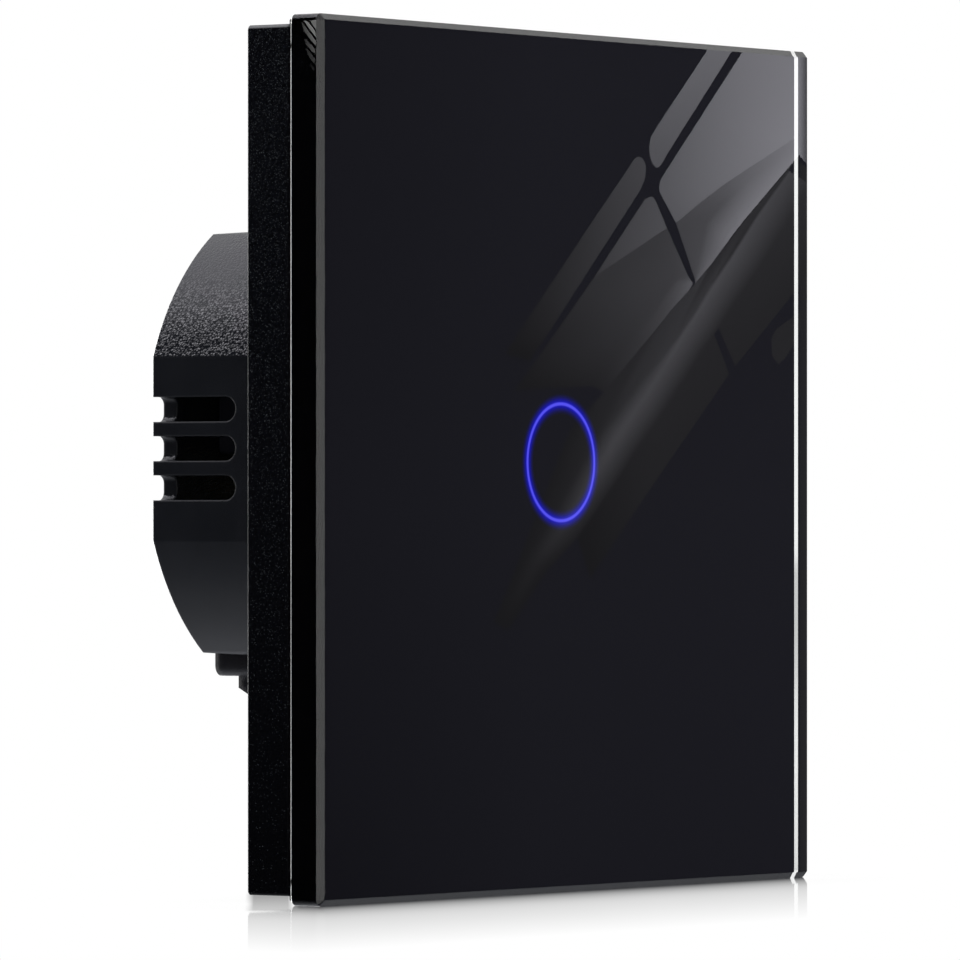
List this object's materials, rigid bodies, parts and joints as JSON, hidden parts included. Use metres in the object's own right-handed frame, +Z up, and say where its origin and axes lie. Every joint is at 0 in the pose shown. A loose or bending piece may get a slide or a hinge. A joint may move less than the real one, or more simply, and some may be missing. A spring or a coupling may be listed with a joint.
{
  "type": "touch light switch",
  "caption": "Wall touch light switch: square black glass panel with a lit blue ring, shallow frame, steel mounting plate and a round vented housing with wire terminals.",
  "frame": {"origin": "on the wall's surface, midway between the two wall-box screws, on the axis through the middle of the glass", "axes": "+X to the right seen from the front, +Y into the wall, +Z up"},
  "size_m": [0.08, 0.0324, 0.08],
  "materials": {
    "clear_glass": "polished clear glass with ground edges",
    "black_print": "opaque black screen print",
    "lit_ink": "translucent ink lit blue from behind",
    "foam_tape": "black foam tape",
    "frame_plastic": "fine matte moulded black plastic",
    "zinc_steel": "zinc-plated pressed steel",
    "cover_plastic": "moulded dark grey plastic",
    "board_laminate": "green solder mask on glass laminate",
    "chip_resin": "black chip resin",
    "tinned_brass": "bright brass",
    "copper_bar": "copper strip",
    "white_acrylic": "milky acrylic",
    "connector_resin": "black connector resin",
    "can_sleeve": "dark blue shrink sleeve",
    "film_resin": "yellow potted box",
    "varistor_coat": "blue epoxy coat",
    "fuse_ceramic": "ceramic tube with metal caps",
    "ferrite": "dark ferrite",
    "enamel_wire": "enamelled copper winding",
    "relay_resin": "blue relay case",
    "soft_iron": "soft iron",
    "spool_resin": "pale spool resin",
    "housing_plastic": "black plastic with a moulded spark grain",
    "terminal_plastic": "black terminal plastic",
    "zinc_screw": "zinc-plated screw"
  },
  "bodies": {
    "module": {"mounting_plate": "zinc_steel", "module_cover": "cover_plastic", "rear_housing": "housing_plastic", "terminal_block": "terminal_plastic", "housing_screws": "zinc_screw", "touch_board": "board_laminate", "touch_chip": "chip_resin", "touch_electrode": "tinned_brass", "indicator_leds": "white_acrylic", "light_ring": "white_acrylic", "header_strip": "connector_resin", "header_pins": "tinned_brass", "header_socket": "connector_resin", "power_board": "board_laminate", "supply_chip": "chip_resin", "bridge_rectifier": "chip_resin", "smoothing_capacitor": "can_sleeve", "film_capacitor": "film_resin", "varistor": "varistor_coat", "fuse": "fuse_ceramic", "transformer_core": "ferrite", "transformer_coil": "enamel_wire", "relay_base": "chip_resin", "relay_case": "relay_resin", "relay_yoke": "soft_iron", "relay_core": "soft_iron", "relay_bobbin": "spool_resin", "relay_winding": "enamel_wire", "relay_fixed_contact": "copper_bar", "busbars": "copper_bar"},
    "panel": {"glass_panel": "clear_glass", "print_film": "black_print", "ring_window": "lit_ink", "bond_tape": "foam_tape", "panel_frame": "frame_plastic"},
    "armature": {"relay_armature": "soft_iron", "relay_contact_blade": "tinned_brass"},
    "screw_1": {"terminal_screw_1": "zinc_screw"},
    "clamp_1": {"terminal_clamp_1": "zinc_steel"},
    "screw_2": {"terminal_screw_2": "zinc_screw"},
    "clamp_2": {"terminal_clamp_2": "zinc_steel"},
    "screw_3": {"terminal_screw_3": "zinc_screw"},
    "clamp_3": {"terminal_clamp_3": "zinc_steel"}
  },
  "joints": [
    {"name": "panel_pull", "type": "slide", "parent": "module", "child": "panel", "axis": [0, -1, 0], "range_m": [0, 0.025]},
    {"name": "armature_rock", "type": "hinge", "parent": "module", "child": "armature", "pos_m": [-0.01497, 0.01655, 0.00581], "axis": [0, 0, -1], "range_deg": [0, 5], "stiffness_Nm_per_rad": 0.002, "springref_deg": -5.73},
    {"name": "screw_1_turn", "type": "hinge", "parent": "module", "child": "screw_1", "pos_m": [-0.008, 0.0212, -0.01357], "axis": [0, -1, 0], "range_deg": [0, 2160]},
    {"name": "clamp_1_rise", "type": "slide", "parent": "module", "child": "clamp_1", "axis": [0, 1, 0], "range_m": [0, 0.003]},
    {"name": "screw_2_turn", "type": "hinge", "parent": "module", "child": "screw_2", "pos_m": [0, 0.0212, -0.01357], "axis": [0, -1, 0], "range_deg": [0, 2160]},
    {"name": "clamp_2_rise", "type": "slide", "parent": "module", "child": "clamp_2", "axis": [0, 1, 0], "range_m": [0, 0.003]},
    {"name": "screw_3_turn", "type": "hinge", "parent": "module", "child": "screw_3", "pos_m": [0.008, 0.0212, -0.01357], "axis": [0, -1, 0], "range_deg": [0, 2160]},
    {"name": "clamp_3_rise", "type": "slide", "parent": "module", "child": "clamp_3", "axis": [0, 1, 0], "range_m": [0, 0.003]}
  ],
  "couplings": [
    {"joint": "screw_1_turn", "follows": "clamp_1_rise", "rad_per_m": 12566},
    {"joint": "screw_2_turn", "follows": "clamp_2_rise", "rad_per_m": 12566},
    {"joint": "screw_3_turn", "follows": "clamp_3_rise", "rad_per_m": 12566}
  ]
}
